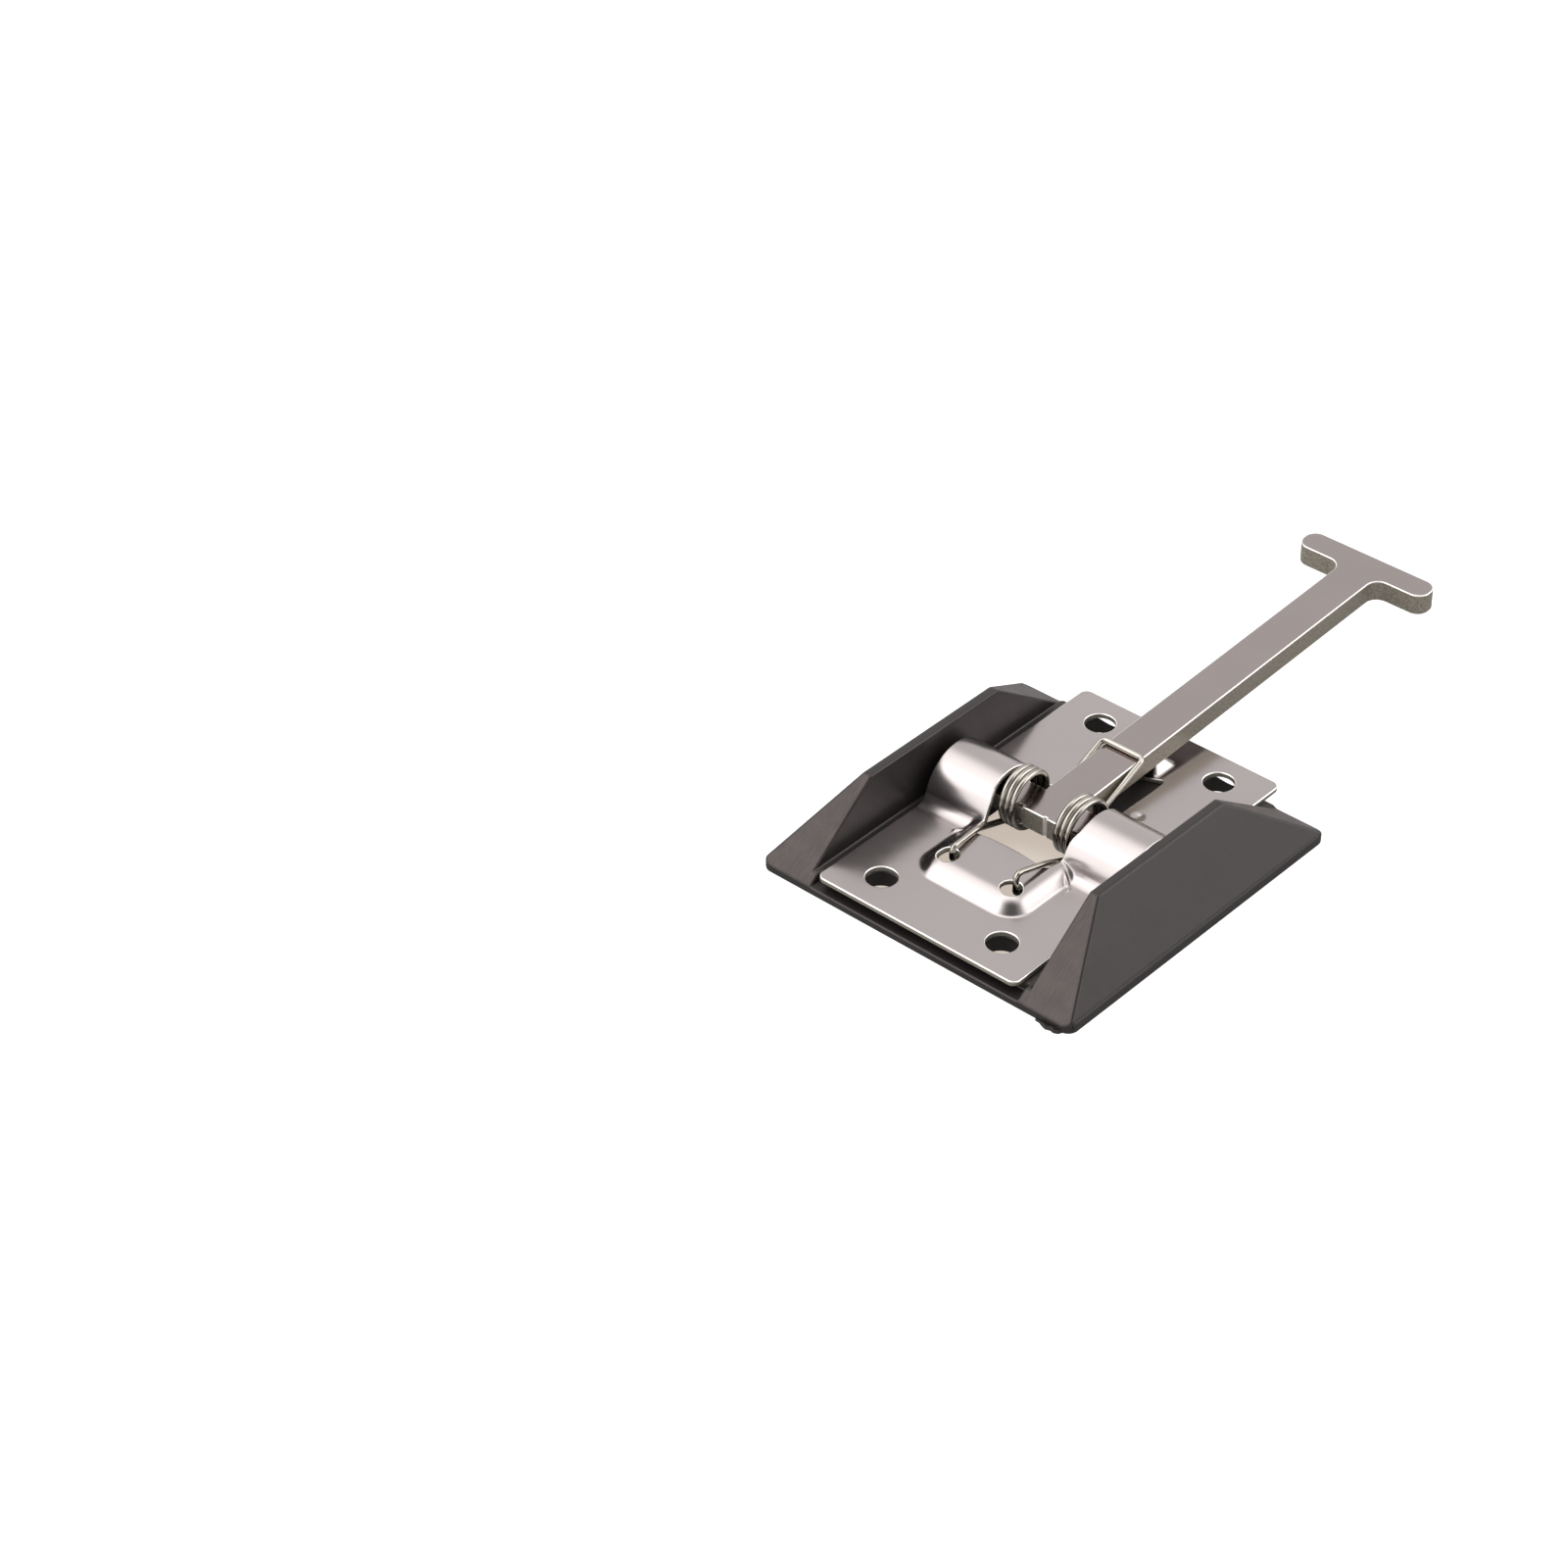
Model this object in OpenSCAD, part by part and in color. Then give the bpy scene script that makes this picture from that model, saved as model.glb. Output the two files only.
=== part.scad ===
// Door holder hook: a sprung T-shaped hook on a stamped plate that sits in a moulded base.
// Millimetres. The origin is the centre of the four screw holes, on the underside of the base.
// +Y runs from the pivot towards the head of the hook, +X is the pivot axis, +Z is up.

/* [Mounting plate] */
// Width of the stamped plate
plate_w = 44.5; // [42:0.5:46]
// Length of the stamped plate
plate_l = 75.5; // [72:0.5:80]
// Thickness of the sheet
sheet_t = 1.0; // [0.8:0.1:1.2]
// Radius of the plate's corners
plate_r = 1.8; // [1:0.1:4]
// Diameter of the screw holes
hole_d = 5.8; // [4.5:0.1:6.4]
// Distance between the screw holes across the plate
hole_dx = 27; // [25:0.5:30]
// Distance between the screw holes along the plate
hole_dy = 61.4; // [59:0.2:62]
// Distance from the plate's front edge to the front screw holes
hole_edge = 7.3; // [6:0.1:8]
// Distance from the plate's front edge to the pivot
pivot_edge = 37.6; // [37:0.1:38]
// Distance from the plate's front edge to the window
window_edge = 25.6; // [25.2:0.1:26]
// Distance from the plate's front edge to the back end of the window
window_end = 61; // [58:0.5:62]
// Bow of the window's front edge
window_bow = 0.6; // [0.2:0.1:1]
// Width of the window behind the knuckles
window_back_w = 12.4; // [11:0.2:14]

/* [Knuckles and boss] */
// Inside radius of the half-round knuckles
knuckle_r = 7.3; // [7:0.1:7.6]
// Radius of the fold at the front of the knuckles
fold_front = 2.7; // [2:0.1:3.4]
// Radius of the fold at the back of the knuckles
fold_back = 4.1; // [3:0.1:5]
// Height of the raised boss above the plate
boss_h = 2.5; // [2:0.1:3]
// Width of the boss at its foot
boss_w = 25; // [24:0.5:28]
// Length of the boss's sloping sides
boss_run = 4.2; // [3.4:0.1:4.6]
// Distance from the plate's front edge to the foot of the boss
boss_edge = 12.0; // [11.5:0.1:13]
// Diameter of the two holes that take the spring's hooks
hook_hole_d = 4.1; // [3.8:0.1:4.4]
// Distance between the two hook holes
hook_hole_dx = 14.2; // [13:0.1:15]
// Distance from the foot of the boss to the hook holes
hook_hole_edge = 5.5; // [5.2:0.1:6.2]
// Width of the raised rest under the hook, at its foot
rest_w = 12.4; // [11:0.2:14]
// Length of the rest at its foot
rest_l = 6.8; // [6.2:0.1:8]
// Length of the rest's sloping sides
rest_run = 2.6; // [2.5:0.1:3]

/* [Moulded base] */
// Width of the base
base_w = 69.4; // [66:0.2:74]
// Radius of the base's corners
base_r = 2.2; // [1:0.1:4]
// Length of the base in front of the plate
front_land = 0.6; // [0.2:0.1:1.2]
// Distance from the base's front edge to the step up to the floor
front_step = 3.2; // [2:0.1:4]
// Length of the base behind the back screw holes
back_land = 0.9; // [0.4:0.1:2]
// Height of the floor that the plate lies on
floor_h = 3.4; // [3.2:0.1:3.8]
// Thickness of the floor
floor_t = 2.4; // [2:0.1:2.6]
// Height of the upright edge all round the base
lip_h = 1.6; // [1.2:0.1:2.2]
// Height of the two side walls
wall_h = 15.6; // [14:0.1:18]
// Gap between the plate and each side wall
side_gap = 1.9; // [0.8:0.1:2.4]
// Lean of the side walls' inner faces
wall_lean = 0.1; // [0.1:0.1:0.8]
// Width of the flat along the top of a side wall
land_w = 1.9; // [1.4:0.1:2.4]
// Distance from the base's front edge to the front end of the wall tops
ridge_front = 17.5; // [15:0.5:20]
// Distance from the base's back edge to the back end of the wall tops
ridge_back = 20.7; // [18:0.5:23]
// Thickness of the shell of the side walls
shell_t = 2.0; // [1.6:0.1:2.4]
// Thickness of the side walls at their tops
crown_t = 5; // [3:0.5:6]
// Width of the slope along the back edge of the floor
edge_bevel = 1.5; // [1:0.1:2]
// Thickness of the ring round each screw hole, under the floor
ring_t = 1.6; // [1:0.1:2]

/* [Hook] */
// Overall length of the hook
hook_l = 101.2; // [96:0.2:108]
// Width of the hook's bar
arm_w = 7.8; // [7.4:0.1:8]
// Thickness of the hook's bar
arm_t = 4.3; // [4:0.1:4.6]
// Width of the hook's head
head_w = 28.8; // [24:0.2:34]
// Length of the hook's head along the bar
head_l = 5.5; // [5:0.1:6.5]
// Radius of the inner corners between bar and head
head_fillet = 2.6; // [1.5:0.1:3.5]
// Radius that the cross-bar's edges turn in
turn_r = 3.65; // [3.5:0.05:3.7]
// Overall length of the cross-bar
cross_l = 39; // [34:0.5:40]
// Angle of the hook above the plate at rest
rest_angle = 2.5; // [1.5:0.1:3]

/* [Spring] */
// Diameter of the spring wire
wire_d = 1.15; // [1.1:0.05:1.2]
// Height of the coils' centre above the pivot
coil_lift = 0.95; // [0.8:0.05:1]
// Whole turns in each coil
coil_turns = 3; // [2:1:3]
// Distance from the pivot to the bail that crosses the hook
bail_reach = 19.5; // [17:0.1:22]
// Radius of the bail's corners
bail_r = 1.7; // [1.4:0.1:2]
// Distance from the hook holes' centres back to the spring's hooks
hook_back = 0.8; // [0.6:0.1:0.9]
// Length of the hooks' straight ends under the boss
hook_tail = 1.3; // [0.8:0.1:2]
// Radius of the bends under the boss
tail_bend = 0.8; // [0.7:0.05:0.9]
// Height of the wire above the boss where it bends down into the hooks
hook_rise = 1.8; // [1.2:0.1:2.4]
// Radius of the bends above the hooks
hook_bend = 1.2; // [1:0.1:1.4]

/* [Hidden] */
$fn = 64;
play = 0.1;        // running clearance round the bail and the hooks
turn_play = 0.55;  // running clearance of the cross-bar between the knuckles and the floor
rest_gap = 0.03;   // clearance between the hook and its rest
turn_gap = 0.03;   // clearance between the coils' turns
coil_gap = 0.05;   // clearance between the coils and the cross-bar's edges
over = 1;          // what a cutter runs past the face that it cuts
far = 200;         // longer than any part

// Levels
plate_top = floor_h + sheet_t;
pivot_z = floor_h + turn_play + turn_r;
roof_z = pivot_z + turn_r + turn_play;
knuckle_z = roof_z - knuckle_r;
boss_top = plate_top + boss_h;

// Places along the plate
plate_y0 = -hole_dy / 2 - hole_edge;
pivot_y = plate_y0 + pivot_edge;
base_y0 = plate_y0 - front_land;
base_y1 = hole_dy / 2 + hole_d / 2 + back_land;
wall_gap = plate_w + 2 * side_gap;
boss_y0 = plate_y0 + boss_edge;
hook_hole_y = boss_y0 + hook_hole_edge;
hook_hole_x = hook_hole_dx / 2;

// Spring
wire_r = wire_d / 2;
coil_r = turn_r + coil_lift + wire_r + coil_gap;
coil_z = pivot_z + coil_lift;
coil_pitch = wire_d + turn_gap;
leg_x = arm_w / 2 + wire_r + play;
bail_y = pivot_y + bail_reach;
bail_z = pivot_z + bail_reach * sin(rest_angle) + (arm_t / 2 + wire_r + play) / cos(rest_angle);
hook_x = hook_hole_x;
hook_y = hook_hole_y + hook_back;
tail_y = hook_y + tail_bend;
tail_z = floor_h + boss_h - wire_r - play;

// The angles, round from +Y, at which a wire from (y, z) meets the underside of the coils
function reach_angle(y, z) = acos(coil_r / norm([y - pivot_y, z - coil_z]));
function touch_back(y, z) = atan2(z - coil_z, y - pivot_y) - reach_angle(y, z);
function touch_front(y, z) = atan2(coil_z - z, pivot_y - y) + reach_angle(y, z) - 180;

// Each leg runs from its coil up over the window's front edge to the bend above its hook
leg_lift = 0.08;   // clearance between the legs and the boss
leg_ease = 0.3;    // what the legs bend behind the window's front edge
window_y0 = plate_y0 + window_edge;
leg_y = window_y0 + leg_ease;
leg_z = boss_top + wire_r + leg_lift;
bend_y = hook_y + hook_bend;
bend_z = boss_top + hook_rise;
back_a = touch_back(bail_y, bail_z);
front_a = touch_front(leg_y, leg_z) - 360 * coil_turns;
coil_end_x = leg_x + (back_a - front_a) / 360 * coil_pitch;

// Window in the plate: its front part is as wide as the coils need, its back part narrower
window_play = 0.6;   // clearance between the coils and the window's sides
window_room = 2.8;   // clearance behind the coils
window_taper = 3.2;  // length over which the window narrows
window_x = coil_end_x + wire_r + window_play;
window_back_x = window_back_w / 2;
window_neck_y0 = pivot_y + coil_r + wire_r + window_room;
window_neck_y1 = window_neck_y0 + window_taper;
window_y1 = plate_y0 + window_end;

// Rest that the hook lies on, behind the window
rest_land = 0.6;   // flat sheet between the window and the rest
rest_y = window_y1 + rest_land + rest_l / 2;
rest_h = pivot_z + (rest_y - rest_l / 2 + rest_run - pivot_y) * tan(rest_angle)
         - arm_t / 2 / cos(rest_angle) - plate_top - rest_gap;

// Opening in the floor of the base, under the coils and the hook holes
opening_edge = 0.5;   // what the opening shows round the window and the hook holes
opening_x = window_x + opening_edge;
opening_y0 = hook_hole_y - hook_hole_d / 2 - opening_edge;
opening_y1 = window_neck_y1 + opening_edge;

steel = [0.68, 0.65, 0.64];
sheared = [0.55, 0.52, 0.48];
wire_colour = [0.60, 0.57, 0.52];
plastic = [0.13, 0.12, 0.12];

// An outline in the Y-Z plane, drawn out along X and centred on it
module along_x(length) {
    rotate([90, 0, 90]) linear_extrude(length, center = true) children();
}

// An outline in the X-Z plane, drawn out along Y from y0 to y1
module along_y(y0, y1) {
    translate([0, y1, 0]) rotate([90, 0, 0]) linear_extrude(y1 - y0) children();
}

// A rectangle with round corners, from its corner nearest the origin
module round_rect(x0, y0, w, l, r) {
    translate([x0 + r, y0]) square([w - 2 * r, l]);
    translate([x0, y0 + r]) square([w, l - 2 * r]);
    for (x = [x0 + r, x0 + w - r], y = [y0 + r, y0 + l - r])
        translate([x, y]) circle(r);
}

module screw_holes(d) {
    for (x = [-hole_dx / 2, hole_dx / 2], y = [-hole_dy / 2, hole_dy / 2])
        translate([x, y, -over]) cylinder(d = d, h = far);
}

// Points down a ramp from its crest, at x0, to its foot: a round crest and a hollow foot
ramp_steps = 5;
function ramp_points(x0, run, h, z, crest_r, foot_r) =
    let(turn = 2 * atan(h / run))
    concat(
        [for (i = [0:ramp_steps]) let(a = turn * i / ramp_steps)
            [x0 + crest_r * sin(a), z + h - crest_r * (1 - cos(a))]],
        [for (i = [1:ramp_steps]) let(a = turn * (1 - i / ramp_steps))
            [x0 + run - foot_r * sin(a), z + foot_r * (1 - cos(a))]]);

// The outline of a raised pad: flat on top, a ramp on both sides. The sheet's underside
// takes the same outline with the two radii changed by the sheet's thickness.
module pad_outline(foot_w, run, h, z, under) {
    bend = run / (2 * sin(2 * atan(h / run)));
    change = under ? -sheet_t / 2 : sheet_t / 2;
    right = ramp_points(foot_w / 2 - run, run, h, z, bend + change, bend - change);
    left = [for (i = [len(right) - 1:-1:0]) [-right[i][0], right[i][1]]];
    polygon(concat([[foot_w / 2, z - over], [-foot_w / 2, z - over]], left, right));
}

// A pad drawn up in the sheet, at (0, y) with its foot w by l
module pad(y, w, l, run, h, z, under) {
    intersection() {
        along_y(y - l, y + l) pad_outline(w, run, h, z, under);
        translate([0, y, 0]) along_x(w + over) pad_outline(l, run, h, z, under);
    }
}

// The outline of the knuckles' hump: a half round with a fold at each side
module hump_outline(r, extra, z) {
    translate([0, knuckle_z]) circle(r);
    for (side = [[1, fold_back], [-1, fold_front]]) {
        fold = side[1];
        reach = sqrt(pow(knuckle_r + sheet_t + fold, 2) - pow(plate_top + fold - knuckle_z, 2));
        difference() {
            polygon([[0, z], [0, knuckle_z], [side[0] * reach, plate_top + fold], [side[0] * reach, z]]);
            translate([side[0] * reach, plate_top + fold]) circle(fold + extra);
        }
    }
}

// Everything below one face of the sheet: its top, or its underside
module below_sheet(under) {
    z = under ? floor_h : plate_top;
    translate([-far / 2, -far / 2, -over]) cube([far, far, z + over]);
    difference() {
        translate([0, pivot_y, 0]) along_x(far)
            hump_outline(knuckle_r + (under ? 0 : sheet_t), under ? sheet_t : 0, z);
        translate([-far / 2, -far / 2, -far]) cube([far, far, far]);
    }
    pad((boss_y0 + pivot_y) / 2, boss_w, pivot_y - boss_y0, boss_run, boss_h, z, under);
    pad(rest_y, rest_w, rest_l, rest_run, rest_h, z, under);
}

// Window for the coils and the hook: its front edge bows back between the spring's legs
module window() {
    bow_steps = 6;
    bow_x = hook_hole_x;
    linear_extrude(far) polygon(concat(
        [[-window_x, window_y0]],
        [for (i = [-bow_steps:bow_steps]) let(t = i / bow_steps)
            [t * bow_x, window_y0 + window_bow * (1 - t * t)]],
        [[window_x, window_y0], [window_x, window_neck_y0], [window_back_x, window_neck_y1],
         [window_back_x, window_y1], [-window_back_x, window_y1],
         [-window_back_x, window_neck_y1], [-window_x, window_neck_y0]]));
}

// Stamped sheet with its knuckles, boss, rest, window and holes
module mounting_plate() {
    color(steel) difference() {
        intersection() {
            below_sheet(false);
            linear_extrude(far) round_rect(-plate_w / 2, plate_y0, plate_w, plate_l, plate_r);
        }
        below_sheet(true);
        window();
        screw_holes(hole_d);
        for (x = [-hook_hole_x, hook_hole_x])
            translate([x, hook_hole_y, 0]) cylinder(d = hook_hole_d, h = far);
    }
}

// The outline of one side wall across the base
module wall_across() {
    inside = wall_gap / 2;
    polygon([[inside - over, 0], [base_w / 2, 0], [base_w / 2, lip_h],
             [inside + wall_lean + land_w, wall_h], [inside + wall_lean, wall_h],
             [inside, floor_h], [inside - over, floor_h]]);
}

// The outline of the hollow in a side wall, one shell thickness in from the wall's faces
module hollow_across() {
    inside = wall_gap / 2 + shell_t;
    fall = (base_w - wall_gap) / 2 - wall_lean - land_w;
    rise = wall_h - lip_h;
    out = base_w / 2 - shell_t * norm([fall, rise]) / rise;
    top = wall_h - crown_t;
    polygon([[inside, -over], [base_w / 2 - shell_t, -over], [base_w / 2 - shell_t, lip_h / 2],
             [out, lip_h], [out - fall / rise * (top - lip_h), top], [inside, top]]);
}

// The outline of the side walls along the base, moved inwards by inset
module wall_along(inset) {
    y0 = base_y0 + inset;
    y1 = base_y1 - inset;
    low = lip_h - inset / 2;
    high = wall_h - inset / 2;
    polygon([[y0, -over], [y1, -over], [y1, low], [y1 - ridge_back, high],
             [y0 + ridge_front, high], [y0, low]]);
}

// The outline of the floor along the base: low in front, with a slope along its back edge
module floor_along() {
    step_y = base_y0 + front_step;
    polygon([[base_y0, 0], [base_y1, 0], [base_y1, lip_h], [base_y1 - edge_bevel, floor_h],
             [step_y, floor_h], [step_y, lip_h], [base_y0, lip_h]]);
}

// The recess under the floor, with a ring left round each screw hole
module underside() {
    recess_x = wall_gap / 2 + shell_t + over / 2;
    recess_y0 = base_y0 + front_step + ring_t;
    difference() {
        translate([-recess_x, recess_y0, -over])
            cube([2 * recess_x, base_y1 - shell_t - recess_y0, over + floor_h - floor_t]);
        screw_holes(hole_d + 2 * ring_t);
    }
}

// Moulded base: a floor with an opening, screw holes and two hollow side walls
module bezel() {
    color(plastic) difference() {
        intersection() {
            union() {
                along_x(wall_gap) floor_along();
                for (side = [0, 1]) mirror([side, 0, 0]) intersection() {
                    along_y(base_y0, base_y1) wall_across();
                    along_x(far) wall_along(0);
                }
            }
            linear_extrude(far)
                round_rect(-base_w / 2, base_y0, base_w, base_y1 - base_y0, base_r);
        }
        for (side = [0, 1]) mirror([side, 0, 0]) intersection() {
            along_y(base_y0, base_y1) hollow_across();
            along_x(far) wall_along(shell_t);
        }
        underside();
        translate([-opening_x, opening_y0, -over])
            cube([2 * opening_x, opening_y1 - opening_y0, far]);
        screw_holes(hole_d);
    }
}

// Flat bar with its head, lying along +Y from the pivot at the origin
module bar_outline() {
    front = play - turn_r;
    head_y0 = front + hook_l - head_l;
    translate([-arm_w / 2, front]) square([arm_w, hook_l - head_l + over]);
    round_rect(-head_w / 2, head_y0, head_w, head_l, head_l * 0.45);
    for (side = [0, 1]) mirror([side, 0]) translate([arm_w / 2, head_y0]) difference() {
        translate([-over, -head_fillet]) square([head_fillet + over, head_fillet + over]);
        translate([head_fillet, -head_fillet]) circle(head_fillet);
    }
}

// Hook: one blank with a head at the far end and a cross-bar that turns in the knuckles
module hook_arm() {
    notch_x = 0.9;
    notch_w = 0.5;
    notch_depth = 0.35;
    color(sheared) translate([0, pivot_y, pivot_z]) rotate([rest_angle, 0, 0]) {
        difference() {
            linear_extrude(arm_t, center = true) bar_outline();
            translate([notch_x, -turn_r, -arm_t]) cube([notch_w, play + notch_depth, 2 * arm_t]);
        }
        for (side = [0, 1]) mirror([side, 0, 0]) intersection() {
            translate([arm_w / 2 - over, play - turn_r, -arm_t / 2])
                cube([(cross_l - arm_w) / 2 + over, 2 * (turn_r - play), arm_t]);
            rotate([0, 90, 0]) cylinder(r = turn_r, h = cross_l / 2);
        }
    }
}

// A point on the coils' circle, a degrees round from +Y, at x
function on_coil(a, x) = [x, pivot_y + coil_r * cos(a), coil_z + coil_r * sin(a)];

// A point on a leg at y: straight in plan from the coil to the bend above the hook
function on_leg(y) =
    let(coil_end = on_coil(front_a, coil_end_x),
        across = (y - coil_end[1]) / (bend_y - coil_end[1]),
        down = (y - leg_y) / (coil_end[1] - leg_y),
        up = (y - leg_y) / (bend_y - leg_y))
    [coil_end_x + across * (hook_x - coil_end_x), y,
     leg_z + (down > 0 ? down * (coil_end[2] - leg_z) : up * (bend_z - leg_z))];

// One half of the wire, from the middle of the bail to the end of the hook
coil_steps = 72;
leg_dir = [0, sin(back_a), -cos(back_a)];
bail_centre = [leg_x - bail_r, bail_y, bail_z] + bail_r * leg_dir;
half_wire = concat(
    [[0, bail_y, bail_z]],
    [for (a = [90:-15:0]) bail_centre + bail_r * (cos(a) * [1, 0, 0] - sin(a) * leg_dir)],
    [for (i = [0:coil_steps]) let(s = i / coil_steps)
        on_coil(back_a + s * (front_a - back_a), leg_x + s * (coil_end_x - leg_x))],
    [on_leg(leg_y + wire_d), on_leg(leg_y - wire_d)],
    [for (a = [90:-22.5:0]) [hook_x, bend_y, bend_z - hook_bend]
        + hook_bend * [0, -cos(a), sin(a)]],
    [for (a = [180:22.5:270]) [hook_x, tail_y, tail_z + tail_bend]
        + tail_bend * [0, cos(a), sin(a)]],
    [[hook_x, tail_y + hook_tail, tail_z]]);

function across_x(p) = [-p[0], p[1], p[2]];
whole_wire = concat(
    [for (i = [len(half_wire) - 1:-1:1]) across_x(half_wire[i])],
    half_wire);

function unit(v) = v / norm(v);
function heading(path, i) =
    i == 0 ? unit(path[1] - path[0])
    : i == len(path) - 1 ? unit(path[i] - path[i - 1])
    : unit(unit(path[i + 1] - path[i]) + unit(path[i] - path[i - 1]));

// Side directions along a path, each carried on from the one before without twist
function sides_along(path, i, side, done) =
    i == len(path) ? done
    : let(t = heading(path, i), next = unit(side - (side * t) * t))
      sides_along(path, i + 1, next, concat(done, [next]));

// A round wire of radius r swept along a path
module wire(path, r, facets) {
    sides = sides_along(path, 0, [1, 0, 0], []);
    points = [for (i = [0:len(path) - 1])
        let(t = heading(path, i), u = sides[i], v = cross(t, u))
        for (k = [0:facets - 1]) path[i] + r * (cos(360 * k / facets) * u + sin(360 * k / facets) * v)];
    walls = [for (i = [0:len(path) - 2], k = [0:facets - 1])
        let(a = i * facets + k, b = i * facets + (k + 1) % facets)
        [a, a + facets, b + facets, b]];
    first_cap = [[for (k = [0:facets - 1]) k]];
    last_cap = [[for (k = [facets - 1:-1:0]) (len(path) - 1) * facets + k]];
    polyhedron(points, concat(walls, first_cap, last_cap), convexity = 10);
}

// Spring: one wire with a hook at each end, two coils and a bail across the hook's bar
module torsion_spring() {
    color(wire_colour) wire(whole_wire, wire_r, 10);
}

bezel();
mounting_plate();
hook_arm();
torsion_spring();
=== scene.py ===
import math

import bmesh
import bpy
from mathutils import Matrix, Vector, geometry


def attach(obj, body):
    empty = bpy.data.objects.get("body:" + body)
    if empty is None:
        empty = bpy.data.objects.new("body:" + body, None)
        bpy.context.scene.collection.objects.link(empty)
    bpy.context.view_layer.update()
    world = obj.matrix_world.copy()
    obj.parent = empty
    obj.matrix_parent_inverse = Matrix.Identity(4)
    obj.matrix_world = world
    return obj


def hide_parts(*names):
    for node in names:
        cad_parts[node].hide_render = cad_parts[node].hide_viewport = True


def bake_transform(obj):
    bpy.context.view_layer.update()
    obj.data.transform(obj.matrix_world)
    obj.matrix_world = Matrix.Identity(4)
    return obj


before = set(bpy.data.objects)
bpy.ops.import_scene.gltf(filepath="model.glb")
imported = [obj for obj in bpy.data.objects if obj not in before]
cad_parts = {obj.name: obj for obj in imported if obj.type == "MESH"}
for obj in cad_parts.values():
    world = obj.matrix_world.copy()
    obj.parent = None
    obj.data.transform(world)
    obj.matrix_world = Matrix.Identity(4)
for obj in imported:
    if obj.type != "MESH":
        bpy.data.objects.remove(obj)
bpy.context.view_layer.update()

scene = bpy.context.scene
MM = 0.001

# Camera: level with the photograph's, from the front right and above.
view_azimuth = math.radians(41.56)
view_elevation = math.radians(36.71)
view_roll = math.radians(0.27)
view_place = Vector((339.2, -454.2, 435.2)) * MM
view_lens = 92.37

back = Vector((math.sin(view_azimuth) * math.cos(view_elevation),
               -math.cos(view_azimuth) * math.cos(view_elevation),
               math.sin(view_elevation)))
level = Vector((math.cos(view_azimuth), math.sin(view_azimuth), 0))
upright = back.cross(level)
right = level * math.cos(view_roll) + upright * math.sin(view_roll)
camera = bpy.data.objects.new("camera", bpy.data.cameras.new("camera"))
camera.matrix_world = Matrix.Translation(view_place) @ Matrix(
    (right, back.cross(right), back)).transposed().to_4x4()
camera.data.lens = view_lens
camera.data.sensor_width = 36
camera.data.clip_start = 0.01
scene.collection.objects.link(camera)
scene.camera = camera
scene.view_settings.view_transform = "Standard"


# Moulded base: one injection moulding in black satin plastic, with a floor, two hollow
# side walls and small round edges. Screws through its floor hold the plate and base down.
class Amount:
    """A value in a node tree, for use in plain arithmetic."""

    def __init__(self, nodes, socket):
        self.nodes = nodes
        self.socket = socket

    def math(self, operation, *values):
        return self.nodes.node("ShaderNodeMath", {"operation": operation},
                               dict(enumerate(values)))

    def __add__(self, other):
        return self.math("ADD", self, other)

    def __radd__(self, other):
        return self.math("ADD", other, self)

    def __sub__(self, other):
        return self.math("SUBTRACT", self, other)

    def __rsub__(self, other):
        return self.math("SUBTRACT", other, self)

    def __mul__(self, other):
        return self.math("MULTIPLY", self, other)

    def __rmul__(self, other):
        return self.math("MULTIPLY", other, self)

    def ramp(self, low, high):
        """0 below low, 1 above high, smooth between them."""
        return self.nodes.node("ShaderNodeMapRange", {"interpolation_type": "SMOOTHSTEP"},
                               {"Value": self, "From Min": low, "From Max": high})


class Nodes:
    """The node tree of a material or of the surroundings."""

    def __init__(self, tree):
        self.tree = tree

    def put(self, value, socket):
        if isinstance(value, Amount):
            self.tree.links.new(value.socket, socket)
        else:
            socket.default_value = value

    def node(self, kind, settings, values, out=0):
        """A node of one kind: its settings first, then the values or links of its sockets."""
        node = self.tree.nodes.new(kind)
        for name, value in settings.items():
            setattr(node, name, value)
        for name, value in values.items():
            self.put(value, node.inputs[name])
        return Amount(self, node.outputs[out])


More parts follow.
